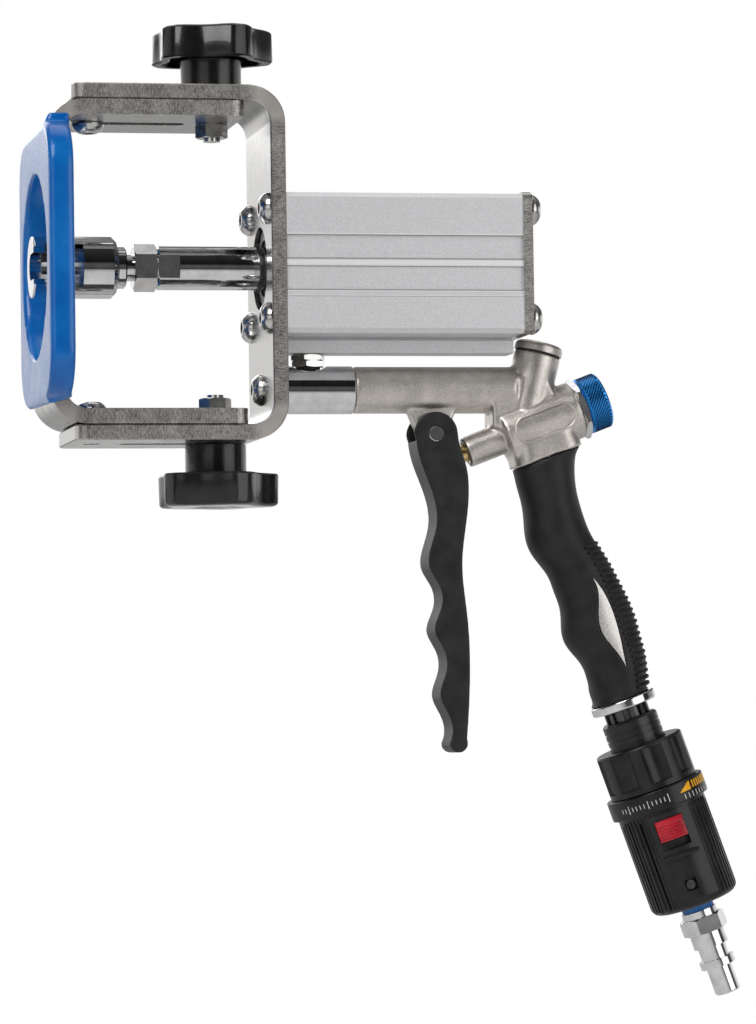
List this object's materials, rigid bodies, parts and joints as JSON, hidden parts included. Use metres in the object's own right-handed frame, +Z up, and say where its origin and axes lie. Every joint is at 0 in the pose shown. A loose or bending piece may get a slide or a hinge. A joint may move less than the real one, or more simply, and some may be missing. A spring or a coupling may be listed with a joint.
{
  "type": "hand-held pneumatic capping press",
  "caption": "Hand-held pneumatic capping press: C-frame with ram and sliding ring jaw, trigger handle, air regulator and plug.",
  "frame": {"origin": "centre of the press head's front face, on the ram axis, with the ram pushed out", "axes": "-X is the pressing direction along the ram, +Z is up towards the upper clamp knob, +Y is to the far side"},
  "size_m": [0.3273, 0.11, 0.4471],
  "materials": {
    "plated_steel": "nickel plated, sawn and bead blasted edges",
    "bright_steel": "bright plated fasteners",
    "polished_chrome": "ground and polished",
    "anodised_aluminium": "matt silver anodised extrusion",
    "dark_aluminium": "dark anodised",
    "satin_nickel": "cast and satin nickel plated",
    "bronze": "sintered bronze",
    "brass": "turned brass",
    "spring_steel": "spring wire",
    "dark_steel": "black oxide",
    "black_rubber": "nitrile rubber",
    "black_enamel": "fine textured black powder coat",
    "black_grip": "soft satin grip",
    "silver_inlay": "speckled silver",
    "black_metal": "semi-gloss black",
    "black_plastic": "moulded nylon",
    "black_phenolic": "moulded gloss black",
    "red_plastic": "moulded red",
    "blue_vinyl": "dipped vinyl, thick and glossy",
    "blue_anodised": "blue anodised diamond knurl",
    "blue_seal": "blue polyurethane ring",
    "orange_paint": "orange scale paint"
  },
  "bodies": {
    "frame": {"rear_bracket": "plated_steel", "guide_screws": "bright_steel", "frame_screws": "bright_steel", "handle_screw": "bright_steel", "end_screws": "bright_steel", "barrel": "anodised_aluminium", "rod_cover": "dark_aluminium", "rod_bush": "bronze", "rod_seal": "black_rubber", "front_bumper": "black_rubber", "rear_cap": "anodised_aluminium", "end_plate": "plated_steel", "air_rail": "anodised_aluminium", "air_nipple": "bright_steel", "nipple_nut": "bright_steel", "nipple_seal": "black_rubber", "ferrule": "polished_chrome", "handle_body": "satin_nickel", "port_seal": "black_rubber", "port_plug": "satin_nickel", "valve_ring": "polished_chrome", "valve_spring": "spring_steel", "trigger_pin": "polished_chrome", "grip_sleeve": "black_grip", "grip_inlays": "silver_inlay", "grip_core": "bright_steel", "grip_ring": "polished_chrome", "inlet_nut": "dark_steel", "regulator_neck": "black_metal", "scale_ring": "black_plastic", "regulator_housing": "black_plastic", "regulator_screw": "dark_steel", "lock_frame": "black_plastic", "spring_seat": "dark_steel", "regulator_spring": "spring_steel", "diaphragm": "black_rubber", "regulator_valve": "brass", "plug_seal": "blue_seal", "air_plug": "polished_chrome"},
    "ram": {"press_head": "polished_chrome", "ram_stud": "polished_chrome", "ram_nut": "polished_chrome", "piston_rod": "polished_chrome", "piston": "dark_aluminium", "piston_seal": "black_rubber", "piston_nut": "bright_steel"},
    "jaw": {"jaw_bracket": "plated_steel", "jaw_coating": "blue_vinyl", "clamp_nuts": "bright_steel"},
    "upper_clamp": {"upper_clamp_knob": "black_phenolic", "upper_clamp_bolt": "bright_steel"},
    "lower_clamp": {"lower_clamp_knob": "black_phenolic", "lower_clamp_bolt": "bright_steel"},
    "trigger": {"trigger_lever": "black_enamel"},
    "stem": {"valve_stem": "brass"},
    "flow_control": {"flow_knob": "blue_anodised", "flow_needle": "brass"},
    "pressure_control": {"regulator_knob": "black_plastic"},
    "lock": {"lock_slider": "red_plastic"}
  },
  "joints": [
    {"name": "ram_slide", "type": "slide", "parent": "frame", "child": "ram", "axis": [1, 0, 0], "range_m": [0, 0.05]},
    {"name": "jaw_slide", "type": "slide", "parent": "frame", "child": "jaw", "axis": [-1, 0, 0], "range_m": [0, 0.04]},
    {"name": "upper_clamp_turn", "type": "hinge", "parent": "jaw", "child": "upper_clamp", "pos_m": [0.0839, 0, 0.09], "axis": [0, 0, 1], "range_deg": [0, 360]},
    {"name": "lower_clamp_turn", "type": "hinge", "parent": "jaw", "child": "lower_clamp", "pos_m": [0.0839, 0, -0.09], "axis": [0, 0, -1], "range_deg": [0, 360]},
    {"name": "trigger_pull", "type": "hinge", "parent": "frame", "child": "trigger", "pos_m": [0.1851, 0, -0.0766], "axis": [0, -1, 0], "range_deg": [0, 12], "stiffness_Nm_per_rad": 0.5, "springref_deg": -20.05},
    {"name": "stem_slide", "type": "slide", "parent": "frame", "child": "stem", "axis": [0.9354, 0, 0.3535], "range_m": [0, 0.003], "deforming": ["valve_spring"]},
    {"name": "flow_turn", "type": "hinge", "parent": "frame", "child": "flow_control", "pos_m": [0.2009, 0, -0.08485], "axis": [0.9354, 0, 0.3535], "range_deg": [0, 720]},
    {"name": "pressure_turn", "type": "hinge", "parent": "frame", "child": "pressure_control", "pos_m": [0.2739, 0, -0.201], "axis": [0.3355, 0, -0.9421], "range_deg": [0, 330]},
    {"name": "lock_slide", "type": "slide", "parent": "frame", "child": "lock", "axis": [0.3355, 0, -0.9421], "range_m": [0, 0.004]}
  ],
  "couplings": [
    {"joint": "stem_slide", "follows": "trigger_pull", "m_per_rad": 0.0143}
  ]
}
